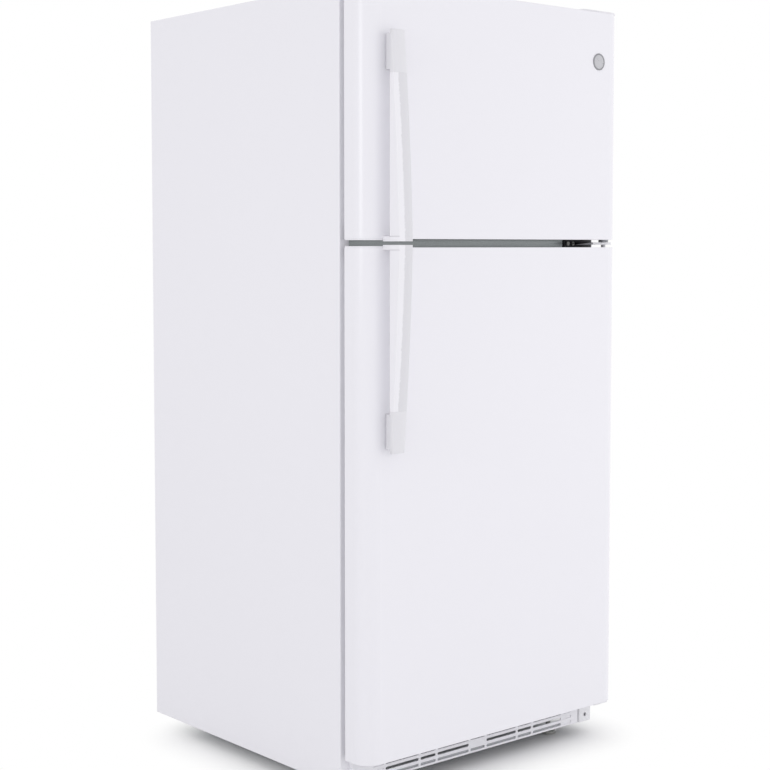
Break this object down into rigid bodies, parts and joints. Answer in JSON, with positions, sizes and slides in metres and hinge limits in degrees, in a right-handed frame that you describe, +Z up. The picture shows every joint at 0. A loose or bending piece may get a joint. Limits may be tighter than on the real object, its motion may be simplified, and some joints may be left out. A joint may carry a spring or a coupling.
{
  "type": "top freezer refrigerator",
  "caption": "White free-standing refrigerator with a freezer door over a taller fridge door, bowed handles, shelves, crispers and a slotted toe grille",
  "frame": {"origin": "on the floor, under the middle of the overall box", "axes": "+X right as seen from the front, +Y towards the back, +Z up; the doors face -Y"},
  "size_m": [0.749, 0.838, 1.67],
  "materials": {
    "white_enamel": "gloss",
    "white_plastic": "satin",
    "liner_plastic": "satin",
    "foam": "matte",
    "galvanised_steel": "satin",
    "mullion_steel": "satin",
    "white_steel": "satin",
    "dark_steel": "satin",
    "screw_steel": "satin",
    "gasket_vinyl": "matte",
    "black_enamel": "satin",
    "coil_aluminium": "satin",
    "black_plastic": "matte",
    "grey_plastic": "satin",
    "shelf_wire": "gloss",
    "glass": "polished",
    "clear_plastic": "gloss",
    "lens_plastic": "satin",
    "badge_grey": "satin"
  },
  "bodies": {
    "cabinet": {"outer_case": "white_enamel", "rear_panel": "galvanised_steel", "insulation": "foam", "freezer_liner": "liner_plastic", "fridge_liner": "liner_plastic", "mullion_rail": "mullion_steel", "base_frame": "galvanised_steel", "base_grille": "white_plastic", "top_hinge": "white_steel", "top_hinge_cover": "white_plastic", "center_hinge": "white_steel", "bottom_hinge": "white_steel", "hinge_screws": "screw_steel", "machine_cover": "galvanised_steel", "compressor": "black_enamel", "condenser_coil": "coil_aluminium", "condenser_fan_motor": "dark_steel", "drain_pan": "black_plastic", "evaporator_coil": "coil_aluminium", "evaporator_fan_motor": "dark_steel", "evaporator_cover": "liner_plastic", "wire_shelf": "shelf_wire", "shelf_glass": "glass", "shelf_frames": "white_plastic", "control_housing": "white_plastic", "light_cover": "lens_plastic", "cord_inlet": "black_plastic"},
    "freezer_door": {"freezer_door_skin": "white_enamel", "freezer_door_core": "foam", "freezer_door_end_caps": "white_plastic", "freezer_door_bushings": "grey_plastic", "freezer_door_liner": "liner_plastic", "freezer_door_gasket": "gasket_vinyl", "freezer_door_bins": "clear_plastic", "freezer_handle": "white_plastic", "freezer_handle_mount": "white_plastic", "badge_disc": "badge_grey"},
    "fridge_door": {"fridge_door_skin": "white_enamel", "fridge_door_core": "foam", "fridge_door_end_caps": "white_plastic", "fridge_door_bushings": "grey_plastic", "fridge_door_liner": "liner_plastic", "fridge_door_gasket": "gasket_vinyl", "fridge_door_bins": "clear_plastic", "fridge_handle": "white_plastic", "fridge_handle_mount": "white_plastic"},
    "evaporator_fan": {"evaporator_fan": "black_plastic"},
    "condenser_fan": {"condenser_fan": "black_plastic"},
    "left_roller": {"left_roller": "black_plastic"},
    "right_roller": {"right_roller": "black_plastic"},
    "left_leg": {"left_leg": "grey_plastic"},
    "right_leg": {"right_leg": "grey_plastic"},
    "left_crisper": {"left_crisper": "clear_plastic"},
    "right_crisper": {"right_crisper": "clear_plastic"},
    "left_humidity_slider": {"left_humidity_slider": "grey_plastic"},
    "right_humidity_slider": {"right_humidity_slider": "grey_plastic"},
    "fridge_dial": {"fridge_dial": "grey_plastic"},
    "freezer_dial": {"freezer_dial": "grey_plastic"},
    "light_switch_plunger": {"light_switch_plunger": "white_plastic"},
    "dairy_lid": {"dairy_lid": "clear_plastic"}
  },
  "joints": [
    {"name": "freezer_door_swing", "type": "hinge", "parent": "cabinet", "child": "freezer_door", "pos_m": [0.3605, -0.321, 1.4], "axis": [0, 0, 1], "range_deg": [0, 130]},
    {"name": "fridge_door_swing", "type": "hinge", "parent": "cabinet", "child": "fridge_door", "pos_m": [0.3605, -0.321, 0.6], "axis": [0, 0, 1], "range_deg": [0, 130]},
    {"name": "dairy_lid_flip", "type": "hinge", "parent": "fridge_door", "child": "dairy_lid", "pos_m": [0, -0.1995, 1.034], "axis": [1, 0, 0], "range_deg": [0, 80]},
    {"name": "left_crisper_slide", "type": "slide", "parent": "cabinet", "child": "left_crisper", "axis": [0, -1, 0], "range_m": [0, 0.095]},
    {"name": "right_crisper_slide", "type": "slide", "parent": "cabinet", "child": "right_crisper", "axis": [0, -1, 0], "range_m": [0, 0.095]},
    {"name": "left_humidity_slide", "type": "slide", "parent": "cabinet", "child": "left_humidity_slider", "axis": [1, 0, 0], "range_m": [-0.02, 0.02]},
    {"name": "right_humidity_slide", "type": "slide", "parent": "cabinet", "child": "right_humidity_slider", "axis": [1, 0, 0], "range_m": [-0.02, 0.02]},
    {"name": "fridge_dial_turn", "type": "hinge", "parent": "cabinet", "child": "fridge_dial", "pos_m": [-0.07, -0.11, 1.075], "axis": [0, -1, 0], "range_deg": [-135, 135]},
    {"name": "freezer_dial_turn", "type": "hinge", "parent": "cabinet", "child": "freezer_dial", "pos_m": [0.07, -0.11, 1.075], "axis": [0, -1, 0], "range_deg": [-135, 135]},
    {"name": "light_switch_press", "type": "slide", "parent": "cabinet", "child": "light_switch_plunger", "axis": [0, 1, 0], "range_m": [0, 0.006], "stiffness_N_per_m": 150},
    {"name": "evaporator_fan_spin", "type": "hinge", "parent": "cabinet", "child": "evaporator_fan", "pos_m": [0, 0.3, 1.5], "axis": [0, 1, 0], "continuous": true},
    {"name": "condenser_fan_spin", "type": "hinge", "parent": "cabinet", "child": "condenser_fan", "pos_m": [0.175, 0.276, 0.196], "axis": [0, 1, 0], "continuous": true},
    {"name": "left_roller_spin", "type": "hinge", "parent": "cabinet", "child": "left_roller", "pos_m": [-0.285, 0.329, 0.02], "axis": [1, 0, 0], "continuous": true},
    {"name": "left_leg_turn", "type": "hinge", "parent": "cabinet", "child": "left_leg", "pos_m": [-0.285, -0.23, 0.02], "axis": [0, 0, 1], "continuous": true},
    {"name": "right_roller_spin", "type": "hinge", "parent": "cabinet", "child": "right_roller", "pos_m": [0.285, 0.329, 0.02], "axis": [1, 0, 0], "continuous": true},
    {"name": "right_leg_turn", "type": "hinge", "parent": "cabinet", "child": "right_leg", "pos_m": [0.285, -0.23, 0.02], "axis": [0, 0, 1], "continuous": true}
  ]
}
